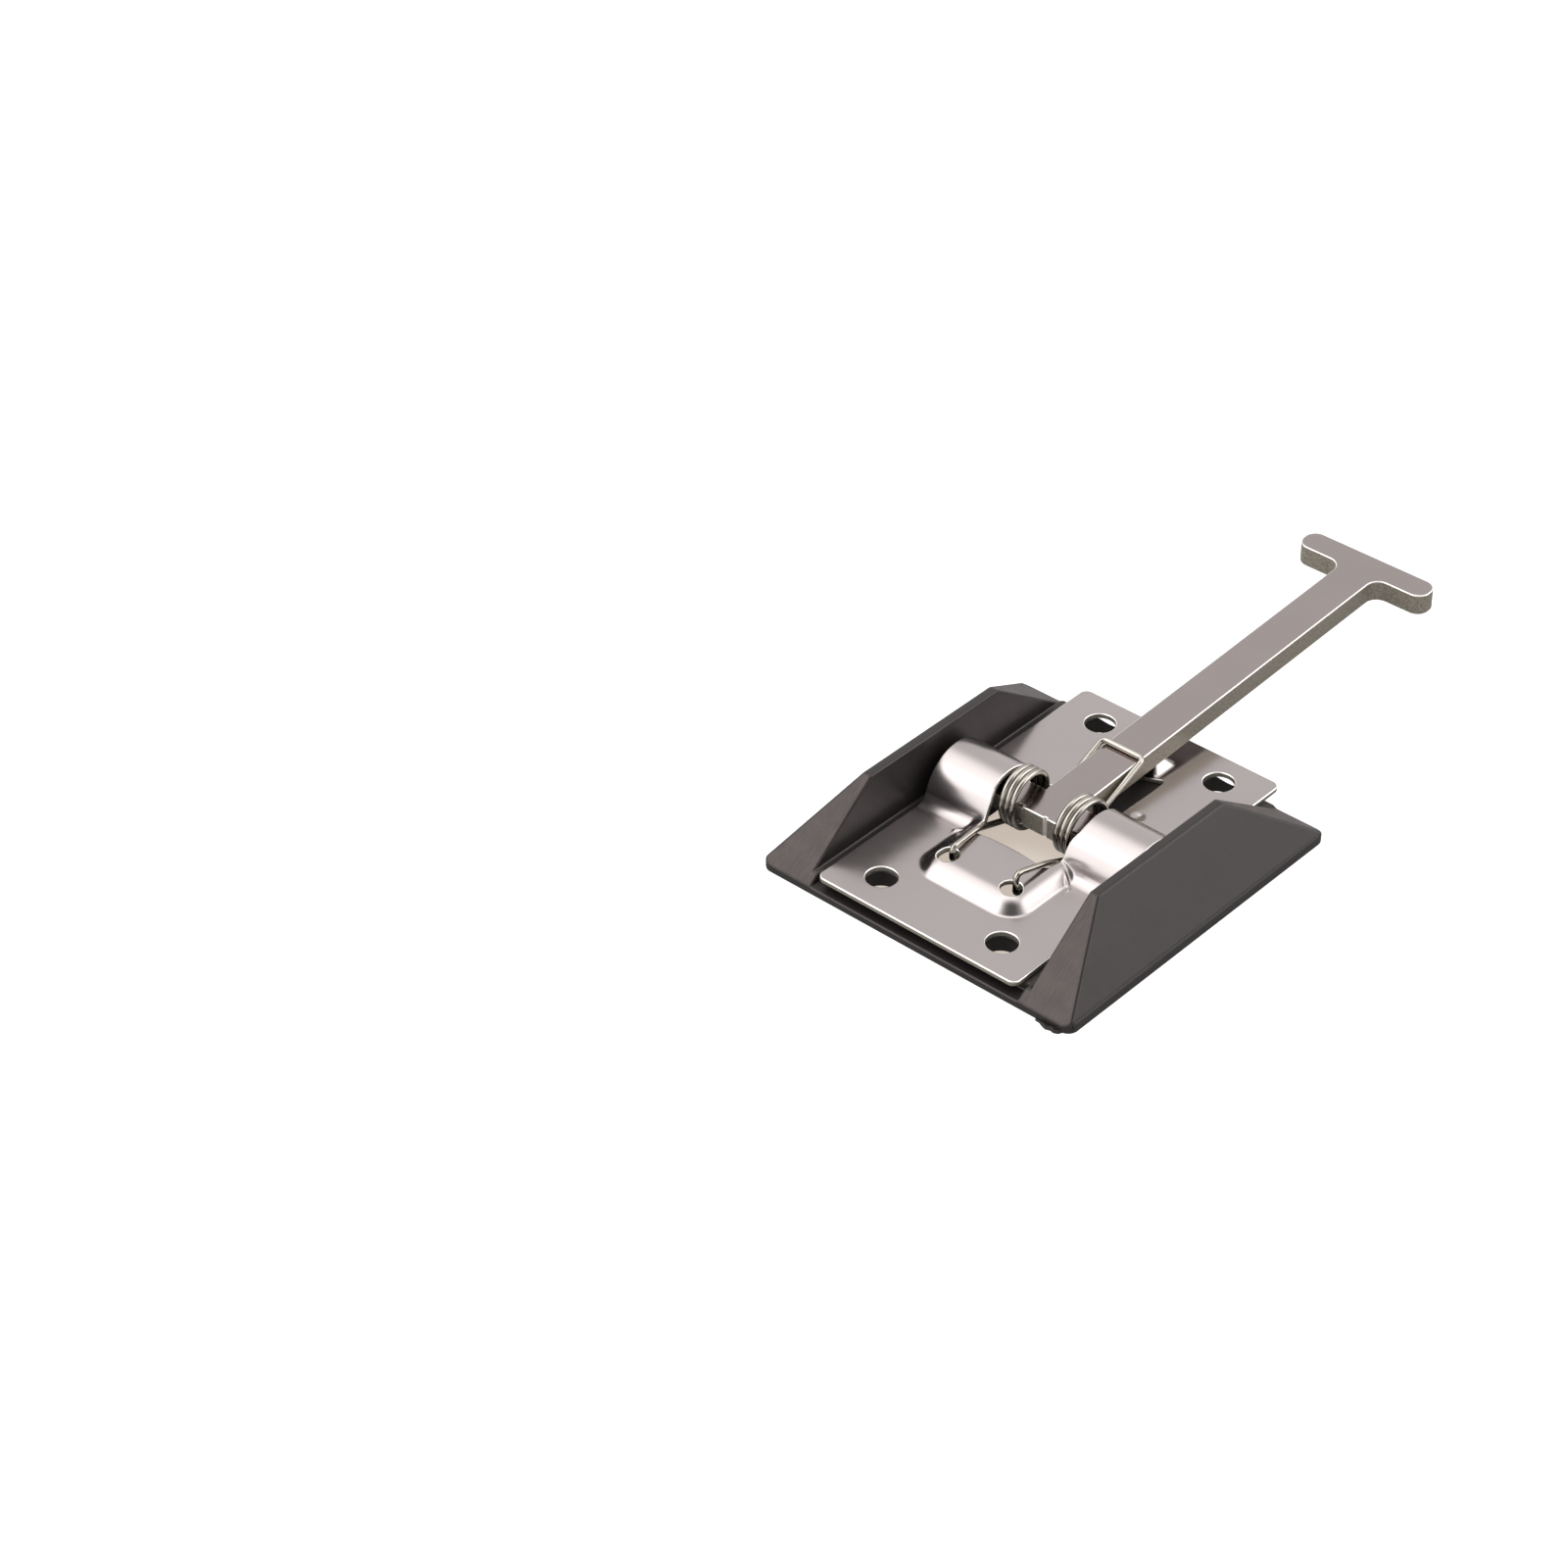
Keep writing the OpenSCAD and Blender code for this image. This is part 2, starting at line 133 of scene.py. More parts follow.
class Finish(Nodes):
    """A material made of nodes, named for the finish that it gives."""

    def __init__(self, name, **settings):
        self.material = bpy.data.materials.new(name)
        self.material.use_nodes = True
        super().__init__(self.material.node_tree)
        self.shader = self.tree.nodes["Principled BSDF"]
        self.set(**settings)

    def place(self, scale=(1, 1, 1), turn=(0, 0, 0)):
        """The piece's own coordinates in millimetres, stretched by scale after a turn."""
        own = self.node("ShaderNodeTexCoord", {}, {}, "Object")
        return self.node("ShaderNodeMapping", {"vector_type": "POINT"}, {
            "Vector": own, "Rotation": turn, "Scale": [s / MM for s in scale]})

    def noise(self, vector, size, detail=3, rough=0.5):
        """Cloudy noise from 0 to 1 whose features are about size millimetres across."""
        return self.node("ShaderNodeTexNoise", {}, {
            "Vector": vector, "Scale": 1 / size, "Detail": detail, "Roughness": rough})

    def spots(self, vector, size):
        """The distance, in spots' own sizes, to the nearest of many scattered spots."""
        return self.node("ShaderNodeTexVoronoi", {}, {"Vector": vector, "Scale": 1 / size})

    def mark(self, name):
        """A number that the mesh carries at each point."""
        return self.node("ShaderNodeAttribute", {"attribute_name": name}, {}, "Fac")

    def mix(self, amount, first, second):
        """Between two colours."""
        mixed = self.tree.nodes.new("ShaderNodeMix")
        mixed.data_type = "RGBA"
        self.put(amount, mixed.inputs[0])
        for value, socket in ((first, mixed.inputs[6]), (second, mixed.inputs[7])):
            self.put(value if isinstance(value, Amount) else (*value, 1), socket)
        return Amount(self, mixed.outputs[2])

    def bump(self, height, depth):
        """Relief on the surface, depth millimetres from lowest to highest."""
        relief = self.node("ShaderNodeBump", {}, {
            "Height": height, "Distance": depth * MM, "Strength": 1.0})
        self.put(relief, self.shader.inputs["Normal"])

    def set(self, **values):
        """Gives the shader's sockets their values, with _ for each space in a name."""
        for socket, value in values.items():
            self.put(value, self.shader.inputs[socket.replace("_", " ")])


def node_copy(node):
    """A merged copy of a CAD node's mesh, with its flat faces joined up."""
    same_point = 1e-7
    same_plane = math.radians(0.6)
    bm = bmesh.new()
    bm.from_mesh(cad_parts[node].data)
    bmesh.ops.remove_doubles(bm, verts=bm.verts, dist=same_point)
    bmesh.ops.dissolve_limit(bm, angle_limit=same_plane, verts=bm.verts, edges=bm.edges)
    return bm


def piece_from(bm, name):
    """A visible piece at the origin, shaded smooth by its own faces."""
    mesh = bpy.data.meshes.new(name)
    bm.to_mesh(mesh)
    bm.free()
    if "custom_normal" in mesh.attributes:
        mesh.attributes.remove(mesh.attributes["custom_normal"])
    mesh.shade_smooth()
    piece = bpy.data.objects.new(name, mesh)
    scene.collection.objects.link(piece)
    return piece


def even_flats(piece):
    """Applies a piece's modifiers, and shades its flats evenly right up to their edges."""
    piece.modifiers.new("even flats", "WEIGHTED_NORMAL").keep_sharp = True
    applied = bpy.data.meshes.new_from_object(
        piece.evaluated_get(bpy.context.evaluated_depsgraph_get()))
    piece.modifiers.clear()
    piece.data = applied


def round_edges(piece, width, segments, angle):
    """Rounds the edges that turn by more than angle degrees, and marks the rounded faces in an
    attribute of their own, on which the finishes paint a highlight or a darker tone. The two
    marker materials are there to tell those faces, and are taken off again."""
    for _ in range(2):
        piece.data.materials.append(bpy.data.materials.new("marker"))
    bevel = piece.modifiers.new("round edges", "BEVEL")
    bevel.width = width * MM
    bevel.segments = segments
    bevel.limit_method = "ANGLE"
    bevel.angle_limit = math.radians(angle)
    bevel.use_clamp_overlap = False
    bevel.material = 1
    piece.modifiers.new("plain faces", "TRIANGULATE").min_vertices = 5
    even_flats(piece)
    applied = piece.data
    rounded_edge = applied.attributes.new("rounded_edge", "FLOAT", "FACE")
    for face in applied.polygons:
        rounded_edge.data[face.index].value = float(face.material_index == 1)
        face.material_index = 0
    applied.materials.clear()


plastic = Finish("black moulded plastic", Specular_Tint=(1.0, 0.93, 0.915, 1))
spot = plastic.place()
grain = plastic.noise(spot, 0.25, 2)
cloud = plastic.noise(spot, 9)
drag = plastic.noise(plastic.place(scale=(2.4, 0.3, 0.3)), 0.9, 4, 0.65)
blotch = plastic.noise(spot, 3.5, 3, 0.6)
dust = 1 - plastic.spots(spot, 2.6).ramp(0.02, 0.05)
edge = plastic.mark("rounded_edge")
facet = plastic.mark("front and back")
# Partly painted light: the sloping front and back facets are painted lighter, as light falls on
# them, with drag marks and blotches across them.
facet_light_and_drag = facet * (0.25 + 0.4 * drag.ramp(0.35, 0.65) + 0.35 * blotch.ramp(0.3, 0.7))
black = plastic.mix(cloud, (0.017, 0.0145, 0.014), (0.024, 0.020, 0.019))
black = plastic.mix(facet_light_and_drag, black, (0.082, 0.064, 0.059))
# Darker along the rounded edges.
black = plastic.mix(edge * 0.6, black, (0.010, 0.008, 0.0075))
plastic.set(
    Base_Color=plastic.mix(dust * 0.4, black, (0.13, 0.12, 0.11)),
    Roughness=0.36 + 0.10 * cloud + 0.12 * drag - 0.08 * edge)
plastic.bump(grain * 0.5 + drag * 0.5, 0.016)

# The opening under the coils. Its side walls stand further apart here than in the solid.
opening_half = 10.3
opening_half_shown = 13.2
opening_wall = 0.6
opening_y = (-24, 26)


def open_up(bm):
    """Moves the corners of the opening's two side walls outwards."""
    for corner in bm.verts:
        beside = abs(abs(corner.co.x) / MM - opening_half) < opening_wall
        if beside and opening_y[0] < corner.co.y / MM < opening_y[1]:
            corner.co.x = math.copysign(opening_half_shown * MM, corner.co.x)


# The flash: a torn lump low on the front edge, as the x, overhang and top of its corners.
flash = ((27.0, 0.5, 0.3), (27.5, -0.3, 0.5), (28.5, -0.35, 0.45), (29.3, -0.75, 0.8),
         (30.2, -1.0, 0.5), (31.1, -0.7, 0.9), (31.8, -0.85, 0.6), (32.6, -0.5, 0.8),
         (33.1, 0.6, 0.4))
flash_foot = 0.04
flash_lean = (0.8, 0.1)


def add_flash(mesh):
    """Joins the lump of flash to the base's front edge, with flat faces."""
    front_y = min(corner.co.y for corner in mesh.vertices) / MM
    bm = bmesh.new()
    bm.from_mesh(mesh)
    low = [bm.verts.new(Vector((x, front_y + y, flash_foot)) * MM) for x, y, _ in flash]
    share, back_by = flash_lean
    high = [bm.verts.new(Vector((x, front_y + y * share + back_by, z)) * MM) for x, y, z in flash]
    lump = [bm.faces.new(low[::-1]), bm.faces.new(high)]
    lump += [bm.faces.new((low[i - 1], low[i], high[i], high[i - 1])) for i in range(len(flash))]
    for face in lump:
        face.smooth = False
    bmesh.ops.recalc_face_normals(bm, faces=lump)
    bm.to_mesh(mesh)
    bm.free()


def mark_facets(mesh, name, steep=0.4):
    """Marks the sloping faces at the front and back ends of the side walls."""
    marks = mesh.attributes.new(name, "FLOAT", "FACE")
    for face in mesh.polygons:
        sloping = abs(face.normal.y) > steep and face.normal.z > steep
        marks.data[face.index].value = float(sloping)


bm = node_copy("bezel")
open_up(bm)
base = piece_from(bm, "moulded_base")
round_edges(base, width=0.4, segments=3, angle=18)
mark_facets(base.data, "front and back")
add_flash(base.data)
base.data.materials.append(plastic.material)
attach(base, "base")
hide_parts("bezel")


# Mounting plate: one pressing of polished 1 mm stainless sheet. Its knuckles, boss and rest
# are drawn up out of the flat, and its window and holes are punched.
plate_w = 44.5
plate_y = (-38.0, 37.5)
plate_corner = 1.6
sheet = 1.0
plate_top = 4.4
pivot_y = -0.4
knuckle_z = 4.5
knuckle_r = 8.3
fold_front = 2.7
fold_back = 4.1


def profile():
    """The top of the sheet along the plate as (y, z) points, and its length up to each."""
    fold_steps, knuckle_steps, flat_steps = 24, 96, 200
    sides = []
    for side, fold in ((-1, fold_front), (1, fold_back)):
        rise = plate_top + fold - knuckle_z
        reach = math.sqrt((knuckle_r + fold) ** 2 - rise ** 2)
        lean = math.atan2(rise, reach)
        arc = [(pivot_y + side * (reach - fold * math.sin(a)), plate_top + fold * (1 - math.cos(a)))
               for a in (i / fold_steps * (math.pi / 2 - lean) for i in range(fold_steps + 1))]
        sides.append((arc, lean))
    (front, low), (rear, low_rear) = sides
    first, last = math.pi - low, low_rear
    knuckle = [(pivot_y + knuckle_r * math.cos(a), knuckle_z + knuckle_r * math.sin(a))
               for a in (first + (last - first) * i / knuckle_steps
                         for i in range(1, knuckle_steps))]
    points = [(plate_y[0] + (front[0][0] - plate_y[0]) * i / flat_steps, plate_top)
              for i in range(flat_steps)]
    points += front + knuckle + rear[::-1]
    points += [(rear[0][0] + (plate_y[1] - rear[0][0]) * i / flat_steps, plate_top)
               for i in range(1, flat_steps + 1)]
    lengths = [0.0]
    for (y0, z0), (y1, z1) in zip(points, points[1:]):
        lengths.append(lengths[-1] + math.hypot(y1 - y0, z1 - z0))
    return points, lengths


sheet_points, sheet_lengths = profile()


def along(s):
    """(y, z) on the profile, s millimetres from the front edge."""
    low, high = 0, len(sheet_lengths) - 1
    while high - low > 1:
        middle = (low + high) // 2
        if sheet_lengths[middle] <= s:
            low = middle
        else:
            high = middle
    span = sheet_lengths[high] - sheet_lengths[low]
    t = (s - sheet_lengths[low]) / span
    (y0, z0), (y1, z1) = sheet_points[low], sheet_points[high]
    return y0 + t * (y1 - y0), z0 + t * (z1 - z0)


def length_at(y):
    """The length along the profile at which it first reaches y."""
    for (y0, _), (y1, _), s0, s1 in zip(sheet_points, sheet_points[1:],
                                        sheet_lengths, sheet_lengths[1:]):
        if y1 >= y:
            return s0 + (y - y0) / (y1 - y0) * (s1 - s0)
    return sheet_lengths[-1]


def smooth_min(a, b, k):
    """The smaller of a and b, blended where they are less than k apart."""
    h = max(k - abs(a - b), 0) / k
    return min(a, b) - h * h * k / 4


def drawn(inward, height, slope, foot, crest):
    """Height of a drawn pad, inward millimetres from its foot: round foot, slope, round crest."""
    slope = math.radians(slope)
    foot_run, foot_rise = foot * math.sin(slope), foot * (1 - math.cos(slope))
    crest_run, crest_rise = crest * math.sin(slope), crest * (1 - math.cos(slope))
    straight = (height - foot_rise - crest_rise) / math.tan(slope)
    if inward <= 0:
        return 0.0
    if inward < foot_run:
        return foot - math.sqrt(foot ** 2 - inward ** 2)
    if inward < foot_run + straight:
        return foot_rise + (inward - foot_run) * math.tan(slope)
    left = foot_run + straight + crest_run - inward
    if left > 0:
        return height - crest + math.sqrt(crest ** 2 - left ** 2)
    return height


boss_front = -26.0
boss_half = 12.5
boss_height = 2.5
boss_corner = 5.6
rest_centre = 27.0
rest_half = (4.8, 3.4)
rest_height = 2.15
# Each crease is its x, y, turn in degrees, length, width and height, and the dimple its x, y,
# width and depth.
creases = ((-11.6, -11.2, 35, 2.6, 0.5, 0.35), (-12.4, -12.0, 80, 1.6, 0.4, 0.22),
           (12.0, -10.9, -40, 2.2, 0.45, 0.32), (12.9, -11.9, -75, 1.4, 0.4, 0.2))
dimple = (8.93, 12.9, 1.3, -0.6)


def rounded(dx, dy, corner):
    """How far inside a rectangle with round corners a point is, from its insets dx and dy."""
    if dx < corner and dy < corner:
        return corner - math.hypot(corner - dx, corner - dy)
    return min(dx, dy)


def boss(x, y):
    """The boss's height. Its left side slopes more gently, from 8 to 11 mm off the middle."""
    inward = rounded(boss_half - abs(x), y - boss_front, boss_corner)
    soft = min(1, max(0, (-x - 8) / 3))
    return drawn(inward, boss_height, 42 - 4 * soft, 0.8 + 1.6 * soft, 4.8 - 1.6 * soft)


def small_marks(x, y):
    """Creases that the drawing left beside the boss, and a dimple behind a knuckle."""
    height = 0.0
    for cx, cy, turn, length, width, rise in creases:
        a = math.radians(turn)
        u = (x - cx) * math.cos(a) + (y - cy) * math.sin(a)
        v = -(x - cx) * math.sin(a) + (y - cy) * math.cos(a)
        height += rise * math.exp(-(u / (length / 2)) ** 2 - (v / (width / 2)) ** 2)
    cx, cy, width, depth = dimple
    return height + depth * math.exp(-((x - cx) ** 2 + (y - cy) ** 2) / (width / 2) ** 2)


def rest(x, y):
    """The height of the rest under the bar."""
    inward = smooth_min(rest_half[0] - abs(x), rest_half[1] - abs(y - rest_centre), 1.2)
    return drawn(inward, rest_height, 50, 0.8, 1.6)


def sheet_point(x, s):
    """The top of the drawn sheet, s millimetres along it from the front edge."""
    y, z = along(s)
    up = z - plate_top
    if y < pivot_y:
        raised = boss(x, y)
        together = -smooth_min(-up, -raised, 1.5 * min(1, raised / 0.8, up / 0.8 + 0.001) + 0.001)
    else:
        together = max(up, rest(x, y))
    return Vector((x, y, plate_top + together + small_marks(x, y)))


hole_r = 2.9
hole_x, hole_y = 13.5, 30.7
hook_hole_r = 2.05
hook_hole_x, hook_hole_y = 7.1, -20.5
window_s = length_at(-12.4)
window_end = length_at(22.8)


def window_outline():
    """The punched window, in sheet lengths: its front corners are round and its sides bow."""
    front_half, front_bow = 7.2, 0.6
    wide_half, wide_y = 9.55, 8.15
    neck_half, neck_run = 6.2, 3.2
    corner, corner_reach, corner_steps = 1.8, 0.7, 8
    side = []
    for i in range(corner_steps + 1):
        a = i / corner_steps * math.pi / 2
        side.append((front_half + corner * math.sin(a) * corner_reach,
                     window_s + corner * (1 - math.cos(a))))
    for y, half in ((-9.6, 8.6), (-8.2, 8.7), (-6.9, 8.8), (-6, 9.1), (-5, 9.5), (-3, 9.7),
                    (3, 9.7), (6.5, 9.6), (wide_y, wide_half)):
        side.append((half, length_at(y)))
    side += [(wide_half + (neck_half - wide_half) * t, length_at(wide_y + neck_run * t))
             for t in (0.25, 0.5, 0.75, 1)]
    side += [(neck_half - inwards, window_end + past) for inwards, past in (
        (0, 0.8), (0.1, 1.2), (0.4, 1.5), (0.8, 1.45), (1.5, 1.1), (2.4, 0.7), (3.6, 0.3))]
    front = [(x, window_s + front_bow * (1 - (x / front_half) ** 2))
             for x in (-5.4, -3.6, -1.8, 0, 1.8, 3.6, 5.4)]
    return front + side + [(-x, s) for x, s in reversed(side)]


def dense(loop, step):
    """A closed outline with no segment longer than step."""
    result = []
    for (x0, s0), (x1, s1) in zip(loop, loop[1:] + loop[:1]):
        count = max(1, math.ceil(math.hypot(x1 - x0, s1 - s0) / step))
        result += [(x0 + (x1 - x0) * i / count, s0 + (s1 - s0) * i / count) for i in range(count)]
    return result


def ring(x, s, r, count=48):
    """A round hole's outline."""
    return [(x + r * math.cos(2 * math.pi * i / count), s + r * math.sin(2 * math.pi * i / count))
            for i in range(count)]


def edge_outline():
    """The blank's outer edge, with its round corners."""
    half = plate_w / 2 - plate_corner
    ends = (plate_corner, sheet_lengths[-1] - plate_corner)
    loop = []
    for cx, cs, start in ((half, ends[0], -90), (half, ends[1], 0),
                          (-half, ends[1], 90), (-half, ends[0], 180)):
        for i in range(13):
            a = math.radians(start + i / 12 * 90)
            loop.append((cx + plate_corner * math.cos(a), cs + plate_corner * math.sin(a)))
    return loop


loops = [dense(edge_outline(), 0.5), dense(window_outline(), 0.3)]
loops += [ring(x, length_at(y), hole_r) for x in (-hole_x, hole_x) for y in (-hole_y, hole_y)]
loops += [ring(x, length_at(hook_hole_y), hook_hole_r, 36) for x in (-hook_hole_x, hook_hole_x)]


def is_inside(loop, x, s):
    """Whether (x, s) lies inside a loop."""
    inside = False
    for (x0, s0), (x1, s1) in zip(loop, loop[1:] + loop[:1]):
        if (s0 > s) != (s1 > s) and x < x0 + (s - s0) / (s1 - s0) * (x1 - x0):
            inside = not inside
    return inside


# The points that fill the sheet lie closer together in these bands, given as the first and last
# length, the half width and the spacing.
fine, middling, coarse = 0.26, 0.4, 0.8
bands = ((length_at(boss_front - 0.6), window_s + 3, 13.2, fine),
         (window_s, length_at(12.2), plate_w / 2, middling),
         (length_at(rest_centre - 4), length_at(rest_centre + 4), 6.8, fine))
edge_margin = 0.3
edge_gap = 0.44
edge_r = 0.17
edge_rows = (0, 0.3 * edge_r, edge_r, 1.5 * edge_r)
cell = 0.5


def spacing(x, s):
    """How far apart the points lie at a place on the sheet."""
    for s0, s1, half, step in bands:
        if s0 <= s <= s1 and abs(x) <= half:
            return step
    return coarse


def cell_of(x, s):
    """The square cell of the sheet that holds a point."""
    return round(x / cell), round(s / cell)


edge_points = {}
for loop in loops:
    for x, s in loop:
        edge_points.setdefault(cell_of(x, s), []).append((x, s))


def clear_of_edges(x, s, gap):
    """Whether a point lies more than gap from every edge's points."""
    i, j = cell_of(x, s)
    return all(math.hypot(x - a, s - b) > gap
               for u in (i - 1, i, i + 1) for v in (j - 1, j, j + 1)
               for a, b in edge_points.get((u, v), ()))


def fill_points():
    """Staggered points all over the sheet, clear of its edges and holes."""
    points = []
    for step in (fine, middling, coarse):
        for i in range(math.floor(-plate_w / 2 / step), math.ceil(plate_w / 2 / step) + 1):
            for j in range(math.ceil(sheet_lengths[-1] / step) + 1):
                x, s = (i + 0.5 * (j % 2)) * step, j * step
                if spacing(x, s) != step or abs(x) > plate_w / 2 - edge_margin:
                    continue
                if not edge_margin < s < sheet_lengths[-1] - edge_margin:
                    continue
                if clear_of_edges(x, s, max(step * 0.55, edge_gap)) and not any(
                        is_inside(loop, x, s) for loop in loops[1:]):
                    points.append((x, s))
    return points


def inset(loop, outer, distance):
    """A loop's points moved distance into the sheet: inwards from its outer edge, and away from
    a hole's edge."""
    moved = []
    turn = sum(x0 * s1 - x1 * s0 for (x0, s0), (x1, s1) in zip(loop, loop[1:] + loop[:1]))
    side = math.copysign(distance, turn) * (1 if outer else -1)
    for before, here, after in zip(loop[-1:] + loop[:-1], loop, loop[1:] + loop[:1]):
        along_x, along_s = after[0] - before[0], after[1] - before[1]
        reach = math.hypot(along_x, along_s)
        moved.append((here[0] - side * along_s / reach, here[1] + side * along_x / reach))
    return moved


def edge_drop(a):
    """How far a rounded edge lies below the sheet's face, a millimetres in from the edge."""
    return edge_r - math.sqrt(max(0, edge_r ** 2 - (edge_r - min(a, edge_r)) ** 2))


def edge_points_in_rows():
    """Rows of points beside each edge: the points, how far each lies below the sheet's face, the
    segments that join them, and the first point and count of each edge's own row."""
    points, drops, segments, rims = [], [], [], []
    for number, loop in enumerate(loops):
        count = len(loop)
        rims.append((len(points), count))
        for distance in edge_rows:
            start = len(points)
            points += inset(loop, number == 0, distance)
            drops += [edge_drop(distance)] * count
            segments += [(start + i, start + (i + 1) % count) for i in range(count)]
    return points, drops, segments, rims


def outward_at(x, s, reach=0.02):
    """The direction square to the sheet's top at a point."""
    across = sheet_point(x + reach, s) - sheet_point(x - reach, s)
    onward = sheet_point(x, s + reach) - sheet_point(x, s - reach)
    return across.cross(onward).normalized()


def pressed_sheet():
    """The drawn and punched sheet, with its rounded edges marked for a painted highlight and its
    cut faces marked "cut"."""
    rows, drops, segments, rims = edge_points_in_rows()
    same_point = 1e-5
    flat_points, _, flat_faces, origins, *_ = geometry.delaunay_2d_cdt(
        [Vector(p) for p in rows + fill_points()], segments, [], 0, same_point)
    bm = bmesh.new()
    rounded_edge = bm.faces.layers.float.new("rounded_edge")
    cut = bm.faces.layers.float.new("cut")
    top, under, row_of = [], [], []
    for p, origin in zip(flat_points, origins):
        row_of.append(origin[0] if origin and origin[0] < len(rows) else None)
        drop = drops[row_of[-1]] if row_of[-1] is not None else 0.0
        here, outward = sheet_point(p.x, p.y), outward_at(p.x, p.y)
        top.append(bm.verts.new((here - outward * drop) * MM))
        under.append(bm.verts.new((here - outward * (sheet - drop)) * MM))
    for face in flat_faces:
        x = sum(flat_points[i].x for i in face) / len(face)
        s = sum(flat_points[i].y for i in face) / len(face)
        if not is_inside(loops[0], x, s) or any(is_inside(loop, x, s) for loop in loops[1:]):
            continue
        in_rows = all(row_of[i] is not None for i in face)
        rounded_off = in_rows and any(drops[row_of[i]] > 0 for i in face)
        for side in ([top[i] for i in face], [under[i] for i in reversed(face)]):
            bm.faces.new(side)[rounded_edge] = float(rounded_off)
    place_of = {row: i for i, row in enumerate(row_of) if row is not None}
    for start, count in rims:
        for i in range(count):
            a, b = place_of[start + i], place_of[start + (i + 1) % count]
            bm.faces.new((top[a], under[a], under[b], top[b]))[cut] = 1.0
    bmesh.ops.delete(bm, geom=[v for v in bm.verts if not v.link_faces], context="VERTS")
    bmesh.ops.recalc_face_normals(bm, faces=bm.faces)
    return bm


plate = piece_from(pressed_sheet(), "mounting_plate_steel")
even_flats(plate)

steel = Finish("polished stainless sheet")
spot = steel.place()
cloud = steel.noise(spot, 14)
smear = steel.noise(steel.place(scale=(0.3, 2.4, 1), turn=(0, 0, 0.2)), 1.5, 4, 0.6)
pits = 1 - steel.spots(spot, 3.4).ramp(0.012, 0.03)
# Painted highlight: the rounded edges are near white, for the bright line of light along them.
edge_highlight = steel.mark("rounded_edge")
sheared = steel.mark("cut")
tear = steel.noise(steel.place(), 0.3, 3, 0.7)
polished = steel.mix(cloud, (0.425, 0.385, 0.378), (0.455, 0.412, 0.404))
polished = steel.mix(pits * 0.6, polished, (0.25, 0.22, 0.20))
torn = steel.mix(tear, (0.27, 0.24, 0.195), (0.40, 0.36, 0.30))
steel.set(
    Base_Color=steel.mix(edge_highlight, steel.mix(sheared, polished, torn), (0.97, 0.94, 0.90)),
    Metallic=1 - 0.6 * sheared,
    Roughness=0.17 + 0.05 * cloud + 0.05 * smear + 0.25 * sheared)
steel.bump(smear * 0.5 + steel.noise(spot, 5, 1) * 2, 0.012)
plate.data.materials.append(steel.material)
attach(plate, "base")
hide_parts("mounting_plate")


# Hook: one steel blank, sheared and polished on its flat faces, with a T-shaped head and a
# cross-bar whose round edges turn between the knuckles and the base's floor.
rest_tilt = math.radians(2.5)


def mark_sheared(mesh, name, across_below=0.45):
    """Marks the faces that stand across the blank, where it was sheared."""
    flat_normal = Vector((0, -math.sin(rest_tilt), math.cos(rest_tilt)))
    marks = mesh.attributes.new(name, "FLOAT", "FACE")
    for face in mesh.polygons:
        marks.data[face.index].value = float(abs(face.normal.dot(flat_normal)) < across_below)


bar = piece_from(node_copy("hook_arm"), "hook_bar")
round_edges(bar, width=0.2, segments=2, angle=28)
mark_sheared(bar.data, "cut")

bar_steel = Finish("polished and sheared steel")
spot = bar_steel.place()
sheared = bar_steel.mark("cut")
# Painted highlight: the rounded edges are near white, for the bright line of light along them.
edge_highlight = bar_steel.mark("rounded_edge")
cloud = bar_steel.noise(spot, 12)
lines = bar_steel.noise(bar_steel.place(scale=(6, 0.08, 1)), 1.0, 3, 0.6)
tear = bar_steel.noise(bar_steel.place(scale=(1, 1, 0.6)), 0.28, 3, 0.7)
polished = bar_steel.mix(cloud, (0.335, 0.292, 0.284), (0.365, 0.320, 0.311))
torn = bar_steel.mix(tear.ramp(0.35, 0.65), (0.24, 0.21, 0.165), (0.42, 0.38, 0.32))
bar_steel.set(
    Base_Color=bar_steel.mix(edge_highlight, bar_steel.mix(sheared, polished, torn), (0.95, 0.91, 0.86)),
    Metallic=1 - 0.5 * sheared,
    Roughness=0.16 + 0.03 * lines + sheared * (0.2 + 0.2 * tear))
bar_steel.bump(lines * 0.03 + sheared * tear * 2.0, 0.02)
bar.data.materials.append(bar_steel.material)
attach(bar, "hook")
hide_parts("hook_arm")


# Spring: one length of drawn spring wire, wound in two coils round the cross-bar, with a
# bail over the bar and two hooks that hold in the boss's small holes.
wire_r = 0.575
coil_r = 5.225
coil_z = 8.55
leg_x = 4.575
coil_turns = 3
coil_pitch = 1.18
bail = (19.6, 11.3)
bail_r = 1.1
leg_bend = (-12.1, 7.56)
hook_y = -19.7
hook_bend = 1.0
tail_bend = 0.8
tail_z = 5.22
tail_end = -17.6
right_hook = (7.45, 9.35)
left_hook = (6.75, 8.1)


def touching(y, z, side):
    """The angle round the coil, from +Y, at which a line from (y, z) meets its underside."""
    y, z = y - pivot_y, z - coil_z
    open_angle = math.acos(coil_r / math.hypot(y, z))
    if side > 0:
        return math.atan2(z, y) - open_angle
    return math.atan2(-z, -y) + open_angle - math.pi


